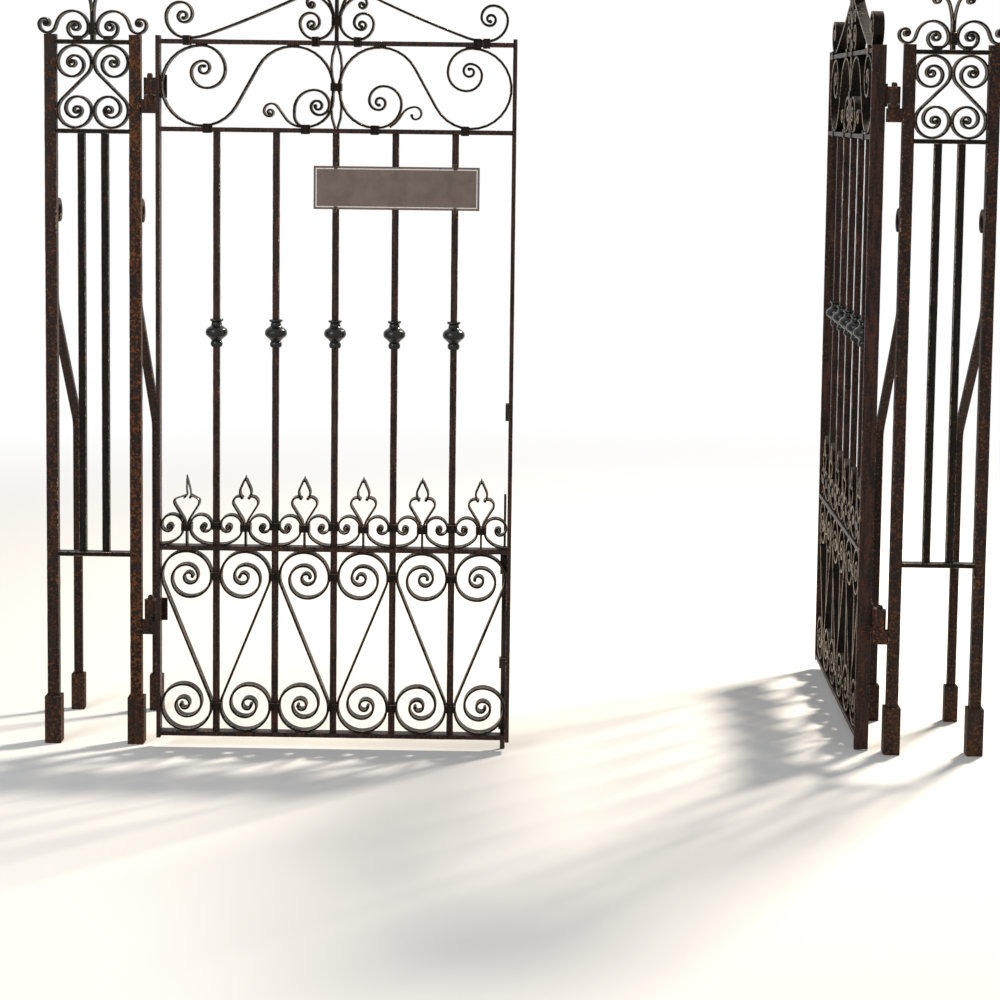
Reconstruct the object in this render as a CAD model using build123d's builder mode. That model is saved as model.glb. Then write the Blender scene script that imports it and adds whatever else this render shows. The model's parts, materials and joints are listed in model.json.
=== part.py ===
from build123d import *
import os
from collections import namedtuple
from math import asin, atan2, cos, degrees, hypot, radians, sin, sqrt

os.makedirs("parts", exist_ok=True)

# A pair of forged iron gate leaves between square posts, with an open side panel beyond each post.
# Millimetres. +X runs from the left gate post to the right one, +Y away from the viewer, +Z up.
# The origin is the middle of the left gate post's foot, on the ground.

# Posts and the opening between them
post_size = 28
post_height = 1746
opening_width = 1870
wing_width = 205
boot_wall = 6
boot_height = 119

# The leaves: flat stiles and rails, square upright bars
leaf_width = 868
leaf_drop = 1
stile_offset = 56
stile_width = 10
leaf_depth = 35
stile_foot = 27
rail_thickness = 11
top_rail_drop = 14
frieze_height = 210
middle_rail_z = 501
bottom_rail_rise = 11
bar_size = 16
bar_count = 5
fit_gap = 0.2

# Cast knops on the bars
knop_z = 1029
knop_height = 68
knop_radius = 27
knop_bulb_height = 36
knop_neck_radius = 12.5
knop_flange_radius = 17
knop_collar_radius = 14
knop_collar_height = 7

# Forged scrolls, bent from flat strip and held by wrapped collars
strip_thickness = 6
strip_depth = 28
fine_strip_thickness = 5
fine_strip_depth = 25
collar_width = 19
collar_wall = 3
seat_gap = 0.3

# Bends of the scrolls, from the outside in: each is a radius and a turn in degrees, and one with no
# turn is a straight run
frieze_turns = [(57, 90), (45, 90), (37, 90), (28, 90), (16, 120)]
frieze_foot_radius = 66
frieze_inner_turns = [(27, 90), (14, 0), (48, 90), (36, 90), (24, 90), (20, 90), (14, 110)]
tendril_bends = [(8, 0), (50, -55), (32, 0), (18, 145), (13, 90), (9, 90)]
frieze_collar_shift = 14
frieze_bow_reach = 12.5
coil_quarters = 5
lower_last_radius = 19
lower_sweep = 205

# Finials on the middle rail. Rise and curl are shares of the room between a bar and the collar.
finial_collar_rise = 44.5
finial_collar_height = 18
finial_collar_wall = 1.5
finial_rise = (1.097, 0.548)
finial_run = 8
finial_curl = (1, 1, 0.6, 0.42, 0.28)
heart_offset = 4
heart_bends = [(8.5, 0), (25, 32), (38.7, 0), (15, -122), (12, -35)]
leaf_bends = [(22, -64), (24, 0)]
leaf_foot = (8.7, 119)
leaf_foot_heading = 130
leaf_knot_radius = 4
leaf_tip = (4.5, 160, 173)

# Crest over the top rail
crest_foot_u = 74
crest_rail_collar = 17
crest_curl = [(50, -90), (35, -90), (28, -90), (20, -90), (14, -100)]
crest_rise = [(150, 20), (2540, 6.4), (20, 190), (12, 60)]
crest_stem = 8.6
crest_collar_height = 23
crest_collar_wall = 1.5
crest_c_radius = 43
crest_c_turns = [(38, -90), (24.6, -90), (22, -90), (17, -90), (11, -90)]
lyre_inner = [(110, 30), (14, 0), (22, -65), (41.5, 0)]
lyre_outer = [(62.6, 61.5), (30, 40), (14, 120), (9, 60)]
lyre_tip = (5, 165, 179)
spear_foot = 104
spear_reach = 13
spear_widest = 19
spear_height = 56
spear_seat = 2

# Hinges: a gudgeon block with an upright pin on the post, an eye with an arm and a strap on the leaf
pivot_offset = 35
leaf_setback = 35
pin_radius = 7
pin_clearance = 0.08
pin_head = 8
pin_taper = 3
eye_wall = 8
eye_height = 42
eye_arm_width = 20
eye_gap = 0.3
strap_width = 23
strap_height = 56
strap_thickness = 5
washer_height = 10
washer_radius = 15
block_height = 34
block_depth = 24
block_overhang = 17
hinge_drop = 153
lower_hinge_z = 310

# Open angle of the right leaf as it stands
right_open_angle = 90.5

# Side panels
wing_rail_thickness = 11
wing_rail_depth = 28
wing_rail_drop = 18
wing_frieze_height = 215
wing_lower_rail_z = 475
wing_bar_size = 18
wing_bar_spacing = 57
wing_last_radius = 11
wing_sweep = 215
post_curl_shift = 7
post_curl_radius = 20
post_curl_turns = [(14, 90), (10, 90), (7, 60)]
wing_curl_slack = 0.6
wing_curl_shares = (0.675, 0.6, 0.425, 0.3)
wing_stem_bends = [(58, 0), (170, 16), (60, 30), (14, 150), (9, 60)]
wing_stem_collar_rise = 26
wing_stem_collar_height = 30
weld = 0.5

# Stays behind the posts
stay_thickness = 16
stay_width = 22
stay_knee_z = 760
stay_leave_z = 1090
stay_reach = 325
stay_bend_radius = 60
stay_curl_z = 1315
stay_curl = [(26, -190), (15.6, -100)]
stay_boot_wall = 6
stay_boot_height = 95

# Sign plate and its ties
sign_u = 581
sign_width = 400
sign_height = 104
sign_thickness = 4
sign_drop = 84
tie_width = 8
tie_height = 14
tie_thickness = 3

# Drop bolt beside the meeting stile, and the keep of a latch on the stile
bolt_radius = 6
bolt_top_z = 500
bolt_handle_radius = 3
bolt_handle_top_z = 638
bolt_gap = 0.3
guide_wall = 4
guide_places = ((60, 18), (217, 26), (466, 52))
keep_size = (8, 20, 42)
keep_z = 844

half_post = post_size / 2
half_rail = rail_thickness / 2
half_strip = strip_thickness / 2
half_fine = fine_strip_thickness / 2
middle_u = leaf_width / 2
stile_top = post_height - leaf_drop
top_rail_z = stile_top - top_rail_drop
frieze_rail_z = top_rail_z - frieze_height
bottom_rail_z = stile_foot + bottom_rail_rise
upper_hinge_z = stile_top - hinge_drop
wing_top_rail_z = post_height - wing_rail_drop
wing_frieze_rail_z = wing_top_rail_z - wing_frieze_height
sign_bottom_z = frieze_rail_z - sign_drop - sign_height
bay_width = (leaf_width - 2 * stile_width - bar_count * bar_size) / (bar_count + 1)
bar_pitch = bay_width + bar_size
bar_places = [middle_u + bar_pitch * (n - (bar_count - 1) / 2) for n in range(bar_count)]
eye_radius = pin_radius + pin_clearance + eye_wall

Coil = namedtuple("Coil", "centre radius sense sweep inner")


def tightening(outer, last, quarters):
    """Quarter turns whose radii shrink evenly from outer to last."""
    return [(outer + (last - outer) * (n + 1) / quarters, 90) for n in range(quarters)]


def coil_bends(coil):
    """A coil's bends going inwards: its outer arc, then the turns that tighten."""
    bends = [(coil.radius, coil.sense * coil.sweep)]
    for radius, turn in coil.inner:
        bends.append((radius, coil.sense * turn))
    return bends


def mirrored(coil, axis_u):
    """The same coil on the other side of an upright line."""
    centre = (2 * axis_u - coil.centre[0], coil.centre[1])
    return Coil(centre, coil.radius, -coil.sense, coil.sweep, coil.inner)


def beside(point, heading, offset):
    """The place that lies to the left of a point on a path by the offset."""
    return (point[0] - offset * sin(radians(heading)), point[1] + offset * cos(radians(heading)))


def side_edges(start, heading, bends, offset):
    """Ends and middles of the edges that run beside a bent path. A bend is a radius and a turn
    in degrees, left turns positive, and one with no turn is a straight run."""
    here = start
    edges = []
    for size, turn in bends:
        begin = beside(here, heading, offset)
        if turn == 0:
            here = (here[0] + size * cos(radians(heading)), here[1] + size * sin(radians(heading)))
            edges.append((begin, beside(here, heading, offset)))
            continue
        reach = size if turn > 0 else -size
        centre = beside(here, heading, reach)
        crown = beside(centre, heading + turn / 2, offset - reach)
        heading += turn
        here = beside(centre, heading, -reach)
        edges.append((begin, crown, beside(here, heading, offset)))
    return edges


def draw_strip(start, heading, ahead, behind, thickness):
    """The edge view of a strip, bent both ways from one point of its middle line."""
    half = thickness / 2
    with BuildLine() as outline:
        for bends, direction in ((ahead, heading), (behind, heading + 180)):
            ends = [beside(start, direction, side) for side in (half, -half)]
            for number, offset in enumerate((half, -half)):
                for points in side_edges(start, direction, bends, offset):
                    if len(points) == 2:
                        Line(*points)
                    else:
                        ThreePointArc(*points)
                    ends[number] = points[-1]
            Line(*ends)
    make_face(outline.edges())


def climb_between(near_centre, far_centre, radii):
    """Heading of the straight run that leaves one coil from below and meets the next from above."""
    across = (far_centre[0] - near_centre[0], far_centre[1] - near_centre[1])
    return degrees(atan2(across[1], across[0]) + asin(radii / hypot(*across)))


def draw_scroll(near, far, thickness=strip_thickness):
    """A scroll: two coils joined by the straight run that touches both."""
    across = (far.centre[0] - near.centre[0], far.centre[1] - near.centre[1])
    lean = far.sense * far.radius + near.sense * near.radius
    run = sqrt(hypot(*across) ** 2 - lean**2)
    heading = degrees(atan2(across[1], across[0]) - atan2(lean, run))
    touch = beside(far.centre, heading, -far.sense * far.radius)
    middle = (
        touch[0] - run / 2 * cos(radians(heading)),
        touch[1] - run / 2 * sin(radians(heading)),
    )
    straight = [(run / 2, 0)]
    draw_strip(middle, heading, straight + coil_bends(far), straight + coil_bends(near), thickness)


def draw_pair(axis_u, start, heading, ahead, behind, thickness):
    """A strip and its mirror image on the other side of an upright line."""
    draw_strip(start, heading, ahead, behind, thickness)
    other_start = (2 * axis_u - start[0], start[1])
    other_ahead = [(size, -turn) for size, turn in ahead]
    other_behind = [(size, -turn) for size, turn in behind]
    draw_strip(other_start, 180 - heading, other_ahead, other_behind, thickness)


def draw_bow(end_u, crown_u, v_low, v_high, thickness):
    """An upright strip that bows to one side between its ends."""
    half = thickness / 2
    middle_v = (v_low + v_high) / 2
    with BuildLine() as outline:
        ThreePointArc((end_u - half, v_low), (crown_u - half, middle_v), (end_u - half, v_high))
        ThreePointArc((end_u + half, v_low), (crown_u + half, middle_v), (end_u + half, v_high))
        Line((end_u - half, v_low), (end_u + half, v_low))
        Line((end_u - half, v_high), (end_u + half, v_high))
    make_face(outline.edges())


def draw_tip(u, v, half_width, low, high):
    """The solid point of a leaf, over a foot at v."""
    with BuildLine() as outline:
        Polyline((u - half_width, v + low), (u + half_width, v + low), (u, v + high), close=True)
    make_face(outline.edges())


def draw_block(u, v, width, height):
    """A rectangle by its middle and its size."""
    with Locations((u, v)):
        Rectangle(width, height)


def draw_span(u_low, u_high, v_low, v_high):
    """A rectangle by its sides."""
    draw_block((u_low + u_high) / 2, (v_low + v_high) / 2, u_high - u_low, v_high - v_low)


def add_rail_collars(plane, places, width, rail_z, thickness, depth):
    """Collars bent round a rail and the strip that lies on it, forged onto the strip."""
    bottom = rail_z - thickness / 2 - seat_gap - collar_wall
    top = rail_z + thickness / 2 + seat_gap + strip_thickness + collar_wall
    with BuildSketch(plane) as bands:
        for u in places:
            draw_span(u - width / 2, u + width / 2, bottom, top)
    extrude(bands.sketch, amount=depth / 2 + seat_gap + collar_wall, both=True)
    with BuildSketch(plane) as holes:
        for u in places:
            draw_block(u, rail_z, 2 * width, thickness + 2 * seat_gap)
    extrude(holes.sketch, amount=depth / 2 + seat_gap, both=True, mode=Mode.SUBTRACT)


def add_bar_collars(plane, places, thickness, depth):
    """Collars bent round a bar and the two scrolls that touch it, forged onto the scrolls."""
    bore = bar_size + 2 * seat_gap
    with BuildSketch(plane) as bands:
        for u, v in places:
            draw_block(u, v, bore + 2 * thickness, collar_width)
    extrude(bands.sketch, amount=depth / 2 + collar_wall, both=True)
    with BuildSketch(plane) as holes:
        for u, v in places:
            draw_block(u, v, bore, 2 * collar_width)
    extrude(holes.sketch, amount=bore / 2, both=True, mode=Mode.SUBTRACT)


def upright_plane(origin, angle):
    """An upright plane whose x runs level at the angle in plan and whose y is up."""
    along = (cos(radians(angle)), sin(radians(angle)), 0)
    return Plane(origin=origin, x_dir=along, z_dir=(along[1], -along[0], 0))


def finish(builder, name):
    """Names the node and writes it."""
    builder.part.label = name
    export_step(builder.part, f"parts/{name}.step")


# The left leaf is closed. The right one stands open, turned about its pins from the closed place,
# in which it mirrors the left one. Each leaf's plane starts at its hinge stile's outer face.
left_leaf = upright_plane((stile_offset, -leaf_setback, 0), 0)
pivot_to_stile = stile_offset - pivot_offset
right_heading = 180 - right_open_angle
right_pivot = (opening_width - pivot_offset, 0)
right_foot = beside(right_pivot, right_heading, leaf_setback)
right_start = (
    right_foot[0] + pivot_to_stile * cos(radians(right_heading)),
    right_foot[1] + pivot_to_stile * sin(radians(right_heading)),
    0,
)
right_leaf = upright_plane(right_start, right_heading)


def make_stiles(side, plane):
    for name, u in (("hinge_stile", stile_width / 2), ("meeting_stile", leaf_width - stile_width / 2)):
        with BuildPart() as stile:
            with BuildSketch(plane):
                draw_block(u, (stile_foot + stile_top) / 2, stile_width, stile_top - stile_foot)
            extrude(amount=leaf_depth / 2, both=True)
        finish(stile, f"{side}_{name}")


def make_rails(side, plane):
    """Four level flats between the stiles. The bars pass through square holes in the middle one."""
    hole = bar_size + 2 * fit_gap
    with BuildPart() as rails:
        with BuildSketch(plane):
            for height in (top_rail_z, frieze_rail_z, middle_rail_z, bottom_rail_z):
                draw_block(middle_u, height, leaf_width - 2 * stile_width, rail_thickness)
        extrude(amount=leaf_depth / 2, both=True)
        with BuildSketch(plane):
            for u in bar_places:
                draw_block(u, middle_rail_z, hole, 2 * rail_thickness)
        extrude(amount=hole / 2, both=True, mode=Mode.SUBTRACT)
    finish(rails, f"{side}_rails")


def make_bars(side, plane):
    low = bottom_rail_z + half_rail
    high = frieze_rail_z - half_rail
    with BuildPart() as bars:
        with BuildSketch(plane):
            for u in bar_places:
                draw_span(u - bar_size / 2, u + bar_size / 2, low, high)
        extrude(amount=bar_size / 2, both=True)
    finish(bars, f"{side}_bars")


def make_knops(side, plane):
    """Cast bulbs with a flared flange above, a plain collar below and a square bore for the bar."""
    half = knop_height / 2
    bulb = knop_bulb_height / 2
    neck = knop_neck_radius
    with BuildPart() as knops:
        for u in bar_places:
            middle = plane.from_local_coords((u, knop_z, 0))
            with BuildSketch(Plane(origin=middle, x_dir=plane.x_dir, z_dir=plane.z_dir)):
                with BuildLine():
                    Polyline(
                        (0, half),
                        (0, -half),
                        (knop_collar_radius, -half),
                        (knop_collar_radius, knop_collar_height - half),
                        (neck, knop_collar_height - half),
                        (neck, -bulb),
                    )
                    ThreePointArc((neck, -bulb), (knop_radius, 0), (neck, bulb))
                    Line((neck, bulb), (neck, half - knop_collar_height))
                    Polyline((neck, half - knop_collar_height), (knop_flange_radius, half), (0, half))
                make_face()
            revolve(axis=Axis(middle, plane.y_dir))
        bore = bar_size + 2 * fit_gap
        with BuildSketch(plane):
            for u in bar_places:
                draw_block(u, knop_z, bore, 2 * knop_height)
        extrude(amount=bore / 2, both=True, mode=Mode.SUBTRACT)
    finish(knops, f"{side}_knops")


def make_frieze_scrolls(side, plane):
    """Two large S-scrolls that meet at the middle, with two bowed bars between them."""
    low = frieze_rail_z + half_rail + seat_gap
    high = top_rail_z - half_rail - seat_gap
    bow_gap = fine_strip_thickness
    edge_u = stile_width + seat_gap + half_strip
    end_u = middle_u - bow_gap - half_strip
    radius = min((high - low - strip_thickness) / 2, (end_u - edge_u) / 4)
    outer_centre = (edge_u + radius, low + half_strip + radius)
    inner_centre = (end_u - radius, high - half_strip - radius)
    climb = climb_between(outer_centre, inner_centre, 2 * radius)
    drop = inner_centre[1] - low - half_strip - frieze_foot_radius
    inner_turns = [(drop, 0), (frieze_foot_radius, 90)] + frieze_inner_turns
    outer_coil = Coil(outer_centre, radius, -1, climb + 180, frieze_turns)
    inner_coil = Coil(inner_centre, radius, -1, climb + 90, inner_turns)
    tendril_start = (end_u - frieze_foot_radius, low + half_strip)
    level = inner_centre[1]
    with BuildPart() as scrolls:
        with BuildSketch(plane):
            draw_scroll(outer_coil, inner_coil)
            draw_scroll(mirrored(outer_coil, middle_u), mirrored(inner_coil, middle_u))
            draw_pair(middle_u, tendril_start, 180, tendril_bends, [], fine_strip_thickness)
            for v_low, v_high in ((low, level), (level, high)):
                for bow in (1, -1):
                    ends = middle_u + bow * (half_fine + seat_gap)
                    crown = middle_u + bow * frieze_bow_reach
                    draw_bow(ends, crown, v_low, v_high, fine_strip_thickness)
        extrude(amount=strip_depth / 2, both=True)
        with BuildSketch(plane):
            draw_block(middle_u, level, 2 * (bow_gap + strip_thickness + collar_wall), collar_width)
        extrude(amount=strip_depth / 2 + collar_wall, both=True)
        near = (outer_centre[0] + frieze_collar_shift, tendril_start[0])
        places = near + (leaf_width - near[0], leaf_width - near[1])
        add_rail_collars(plane, places, collar_width, frieze_rail_z, rail_thickness, leaf_depth)
    finish(scrolls, f"{side}_frieze_scrolls")


def bay_edges():
    """The clear width of each bay between stiles and bars."""
    edges = [stile_width]
    for u in bar_places:
        edges += [u - bar_size / 2, u + bar_size / 2]
    edges.append(leaf_width - stile_width)
    return list(zip(edges[::2], edges[1::2]))


def make_finials(side, plane):
    """A forged finial in each bay on the middle rail: a stub, two side scrolls that run from the
    bars to a collar, and over it a heart that folds into an open leaf."""
    foot = middle_rail_z + half_rail + seat_gap
    collar_v = foot + finial_collar_rise
    side_u = heart_offset + fine_strip_thickness
    reach = bay_width / 2 - seat_gap - side_u
    wide, tight = [share * reach for share in finial_rise]
    slant = sin(radians(45))
    sweep = [
        (reach - wide * slant - tight * (1 - slant), 0),
        (wide, 45),
        (tight, 45),
        (finial_run, 0),
    ]
    ring = (reach - half_fine) / 2
    curl = [(share * ring, 90) for share in finial_curl]
    ring_v = foot + half_fine + wide * (1 - slant) + tight * slant + finial_run
    with BuildPart() as finials:
        with BuildSketch(plane):
            for low, high in bay_edges():
                u = (low + high) / 2
                start = (low + seat_gap, foot + half_fine)
                draw_pair(u, start, 0, sweep + curl, [], fine_strip_thickness)
                draw_pair(u, (u - heart_offset, collar_v), 90, heart_bends, [], fine_strip_thickness)
                knot = (u - leaf_foot[0], foot + leaf_foot[1])
                draw_pair(u, knot, leaf_foot_heading, leaf_bends, [], fine_strip_thickness)
                with Locations(knot, (2 * u - knot[0], knot[1])):
                    Circle(leaf_knot_radius)
                draw_tip(u, foot, *leaf_tip)
                draw_span(u - half_fine, u + half_fine, foot, collar_v)
        extrude(amount=fine_strip_depth / 2, both=True)
        with BuildSketch(plane):
            collar = 2 * (side_u + half_fine + finial_collar_wall)
            for low, high in bay_edges():
                draw_block((low + high) / 2, collar_v, collar, finial_collar_height)
        extrude(amount=fine_strip_depth / 2 + collar_wall, both=True)
        places = [(u, ring_v) for u in bar_places]
        add_bar_collars(plane, places, fine_strip_thickness, fine_strip_depth)
    finish(finials, f"{side}_finials")


def make_lower_scrolls(side, plane):
    """One S-scroll in each bay, turned the other way in every second bay."""
    low = bottom_rail_z + half_rail + seat_gap
    high = middle_rail_z - half_rail - seat_gap
    radius = (bay_width - strip_thickness) / 2 - seat_gap
    turns = tightening(radius, lower_last_radius, coil_quarters)
    levels = (low + half_strip + radius, high - half_strip - radius)
    with BuildPart() as scrolls:
        with BuildSketch(plane):
            for number, (left, right) in enumerate(bay_edges()):
                sense = -1 if number % 2 == 0 else 1
                u = (left + right) / 2
                bottom, top = [Coil((u, v), radius, sense, lower_sweep, turns) for v in levels]
                draw_scroll(bottom, top)
        extrude(amount=strip_depth / 2, both=True)
        places = [(u, v) for u in bar_places for v in levels]
        add_bar_collars(plane, places, strip_thickness, strip_depth)
    finish(scrolls, f"{side}_lower_scrolls")


def make_crest(side, plane):
    """Scrolls on the top rail: a curl at each end that runs up to the middle in one long strip, and
    a pair of C-scrolls that go on as a lyre round a spear."""
    foot = top_rail_z + half_rail + seat_gap + half_strip
    strand_u = middle_u - crest_stem / 2 - half_strip
    collar_v = foot + crest_c_radius
    c_bends = [(crest_c_radius, -90)] + crest_c_turns
    spear_v = foot + spear_foot
    with BuildPart() as crest:
        with BuildSketch(plane):
            draw_pair(middle_u, (crest_foot_u, foot), 180, crest_curl, crest_rise, strip_thickness)
            draw_pair(middle_u, (strand_u, collar_v), 90, lyre_inner, c_bends, strip_thickness)
            draw_pair(middle_u, (strand_u, collar_v), 90, lyre_outer, [], strip_thickness)
            draw_tip(middle_u, foot, *lyre_tip)
            stem_top = spear_v + spear_seat
            draw_span(middle_u - crest_stem / 2, middle_u + crest_stem / 2, foot - half_strip, stem_top)
            with BuildLine() as spear:
                for side_of in (1, -1):
                    widest = (middle_u + side_of * spear_reach, spear_v + spear_widest)
                    ThreePointArc((middle_u, spear_v), widest, (middle_u, spear_v + spear_height))
            make_face(spear.edges())
        extrude(amount=strip_depth / 2, both=True)
        with BuildSketch(plane):
            collar = crest_stem + 2 * (strip_thickness + crest_collar_wall)
            draw_block(middle_u, collar_v, collar, crest_collar_height)
        extrude(amount=strip_depth / 2 + collar_wall, both=True)
        c_foot_u = strand_u - crest_c_radius
        places = (crest_foot_u, c_foot_u, leaf_width - c_foot_u, leaf_width - crest_foot_u)
        add_rail_collars(plane, places, crest_rail_collar, top_rail_z, rail_thickness, leaf_depth)
    finish(crest, f"{side}_crest")


def make_hinge_eyes(side, plane, back):
    """Two eyes that turn on the pins, each with an arm to a strap on the back of the hinge stile.
    The pins are on the back of the leaf, which is the near or the far side of its level plane."""
    pin = (-pivot_to_stile, back * leaf_setback)
    stile_back = back * leaf_depth / 2
    arm_end = (stile_width / 2, stile_back)
    arm = (arm_end[0] - pin[0], arm_end[1] - pin[1])
    with BuildPart() as eyes:
        for hinge_z in (upper_hinge_z, lower_hinge_z):
            eye_z = hinge_z + washer_height + eye_gap
            foot = plane.from_local_coords((0, eye_z, 0))
            with BuildSketch(Plane(origin=foot, x_dir=plane.x_dir, z_dir=(0, 0, 1))):
                with Locations(pin):
                    Circle(eye_radius)
                with Locations(((pin[0] + arm_end[0]) / 2, (pin[1] + arm_end[1]) / 2)):
                    Rectangle(hypot(*arm), eye_arm_width, rotation=degrees(atan2(arm[1], arm[0])))
                with Locations((0, 0)):
                    Rectangle(2 * strap_width, leaf_depth, mode=Mode.SUBTRACT)
                with Locations(pin):
                    Circle(pin_radius + pin_clearance, mode=Mode.SUBTRACT)
            extrude(amount=eye_height)
            strap_foot = plane.from_local_coords((0, eye_z + (eye_height - strap_height) / 2, 0))
            with BuildSketch(Plane(origin=strap_foot, x_dir=plane.x_dir, z_dir=(0, 0, 1))):
                strap_w = stile_back + back * strap_thickness / 2
                draw_block(strap_width / 2, strap_w, strap_width, strap_thickness)
            extrude(amount=strap_height)
    finish(eyes, f"{side}_hinge_eyes")


def make_gudgeons():
    """Blocks on the inner faces of the gate posts, each with a pin that stands up from it."""
    faces = ((half_post, 1, pivot_offset), (opening_width - half_post, -1, opening_width - pivot_offset))
    with BuildPart() as gudgeons:
        for face, toward, pin_x in faces:
            block_end = pin_x + toward * block_overhang
            for hinge_z in (upper_hinge_z, lower_hinge_z):
                with BuildSketch(Plane.XY.offset(hinge_z - block_height)):
                    draw_block((face + block_end) / 2, 0, abs(block_end - face), block_depth)
                extrude(amount=block_height)
                with BuildSketch(Plane.XY.offset(hinge_z)):
                    with Locations((pin_x, 0)):
                        Circle(pin_radius)
                extrude(amount=washer_height + eye_height + pin_head)
                with BuildSketch(Plane.XY.offset(hinge_z + washer_height + eye_height + pin_head)):
                    with Locations((pin_x, 0)):
                        Circle(pin_radius)
                extrude(amount=pin_taper, taper=45)
    finish(gudgeons, "hinge_gudgeons")
    with BuildPart() as washers:
        for pin_x in (pivot_offset, opening_width - pivot_offset):
            for hinge_z in (upper_hinge_z, lower_hinge_z):
                with BuildSketch(Plane.XY.offset(hinge_z)):
                    with Locations((pin_x, 0)):
                        Circle(washer_radius)
                        Circle(pin_radius + pin_clearance, mode=Mode.SUBTRACT)
                extrude(amount=washer_height)
    finish(washers, "hinge_washers")


post_places = {
    "left_gate_post": 0,
    "right_gate_post": opening_width,
    "left_end_post": -wing_width,
    "right_end_post": opening_width + wing_width,
}


def make_posts():
    for name, x in post_places.items():
        with BuildPart() as post:
            with BuildSketch():
                draw_block(x, 0, post_size, post_size)
            extrude(amount=post_height)
        finish(post, name)
    with BuildPart() as boots:
        with BuildSketch():
            for x in post_places.values():
                hole = post_size + 2 * fit_gap
                draw_block(x, 0, hole + 2 * boot_wall, hole + 2 * boot_wall)
                with Locations((x, 0)):
                    Rectangle(hole, hole, mode=Mode.SUBTRACT)
        extrude(amount=boot_height)
    finish(boots, "post_boots")


def make_stays():
    """A bar behind each post: a curl at its top, a run down the post's back, then out to a foot."""
    start = (half_post + seat_gap + stay_thickness / 2, stay_curl_z)
    slope = (stay_reach - start[0], stay_leave_z - stay_knee_z)
    lean = degrees(atan2(*slope))
    cut = stay_bend_radius * sin(radians(lean / 2)) / cos(radians(lean / 2))
    down = [
        (stay_curl_z - stay_leave_z - cut, 0),
        (stay_bend_radius, lean),
        (hypot(*slope) - 2 * cut, 0),
        (stay_bend_radius, -lean),
        (stay_knee_z - cut, 0),
    ]
    with BuildPart() as stays:
        for x in post_places.values():
            with BuildSketch(upright_plane((x, 0, 0), 90)):
                draw_strip(start, -90, down, stay_curl, stay_thickness)
            extrude(amount=stay_width / 2, both=True)
    finish(stays, "back_stays")
    with BuildPart() as boots:
        with BuildSketch():
            for x in post_places.values():
                hole_x = stay_width + 2 * fit_gap
                hole_y = stay_thickness + 2 * fit_gap
                draw_block(x, stay_reach, hole_x + 2 * stay_boot_wall, hole_y + 2 * stay_boot_wall)
                with Locations((x, stay_reach)):
                    Rectangle(hole_x, hole_y, mode=Mode.SUBTRACT)
        extrude(amount=stay_boot_height)
    finish(boots, "stay_boots")


def make_wing(side, plane):
    """The open panel between a gate post and its end post. Its u runs from the gate post."""
    middle = wing_width / 2
    rail_half = wing_rail_thickness / 2
    low = wing_frieze_rail_z + rail_half + seat_gap + half_strip
    high = wing_top_rail_z - rail_half - seat_gap - half_strip
    with BuildPart() as rails:
        with BuildSketch(plane):
            for height in (wing_top_rail_z, wing_frieze_rail_z, wing_lower_rail_z):
                draw_block(middle, height, wing_width - post_size, wing_rail_thickness)
        extrude(amount=wing_rail_depth / 2, both=True)
    finish(rails, f"{side}_wing_rails")
    with BuildPart() as bars:
        with BuildSketch(plane):
            for u in (middle - wing_bar_spacing / 2, middle + wing_bar_spacing / 2):
                draw_span(
                    u - wing_bar_size / 2,
                    u + wing_bar_size / 2,
                    wing_lower_rail_z + rail_half,
                    wing_frieze_rail_z - rail_half,
                )
        extrude(amount=wing_bar_size / 2, both=True)
    finish(bars, f"{side}_wing_bars")
    near = half_post + seat_gap + half_strip
    far = middle - seat_gap - half_strip
    radius = (far - near) / 2
    coil_u = (near + far) / 2
    turns = tightening(radius, wing_last_radius, coil_quarters)
    upper = Coil((coil_u, high - radius), radius, 1, wing_sweep, turns)
    lower = Coil((coil_u, low + radius), radius, 1, wing_sweep, turns)
    with BuildPart() as scrolls:
        with BuildSketch(plane):
            draw_scroll(lower, upper)
            draw_scroll(mirrored(lower, middle), mirrored(upper, middle))
        extrude(amount=strip_depth / 2, both=True)
    finish(scrolls, f"{side}_wing_scrolls")
    foot = wing_top_rail_z + rail_half + seat_gap
    collar_half = fine_strip_thickness + collar_wall
    end_u = middle - collar_half - half_strip + weld
    curl_radius = (end_u + post_curl_shift - post_curl_radius) / 2 - wing_curl_slack
    curl_turns = [(share * curl_radius, 90) for share in wing_curl_shares]
    foot_radius = curl_turns[0][0]
    small_centre = (-post_curl_shift, post_height + seat_gap + half_strip + post_curl_radius)
    large_centre = (end_u - curl_radius, foot + half_strip + foot_radius)
    climb = climb_between(small_centre, large_centre, post_curl_radius + curl_radius)
    small = Coil(small_centre, post_curl_radius, -1, climb + 90, post_curl_turns)
    large = Coil(large_centre, curl_radius, -1, climb + 90, curl_turns)
    stem_foot = (middle - half_fine + weld / 2, foot)
    with BuildPart() as crest:
        with BuildSketch(plane):
            draw_scroll(small, large)
            draw_scroll(mirrored(small, middle), mirrored(large, middle))
            draw_pair(middle, stem_foot, 90, wing_stem_bends, [], fine_strip_thickness)
        extrude(amount=strip_depth / 2, both=True)
        with BuildSketch(plane):
            draw_block(middle, foot + wing_stem_collar_rise, 2 * collar_half, wing_stem_collar_height)
            for u in (end_u - foot_radius, 2 * middle - end_u + foot_radius):
                clip_top = foot + strip_thickness + collar_wall
                draw_span(u - collar_width / 2, u + collar_width / 2, foot, clip_top)
        extrude(amount=strip_depth / 2 + collar_wall, both=True)
    finish(crest, f"{side}_wing_crest")


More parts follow.
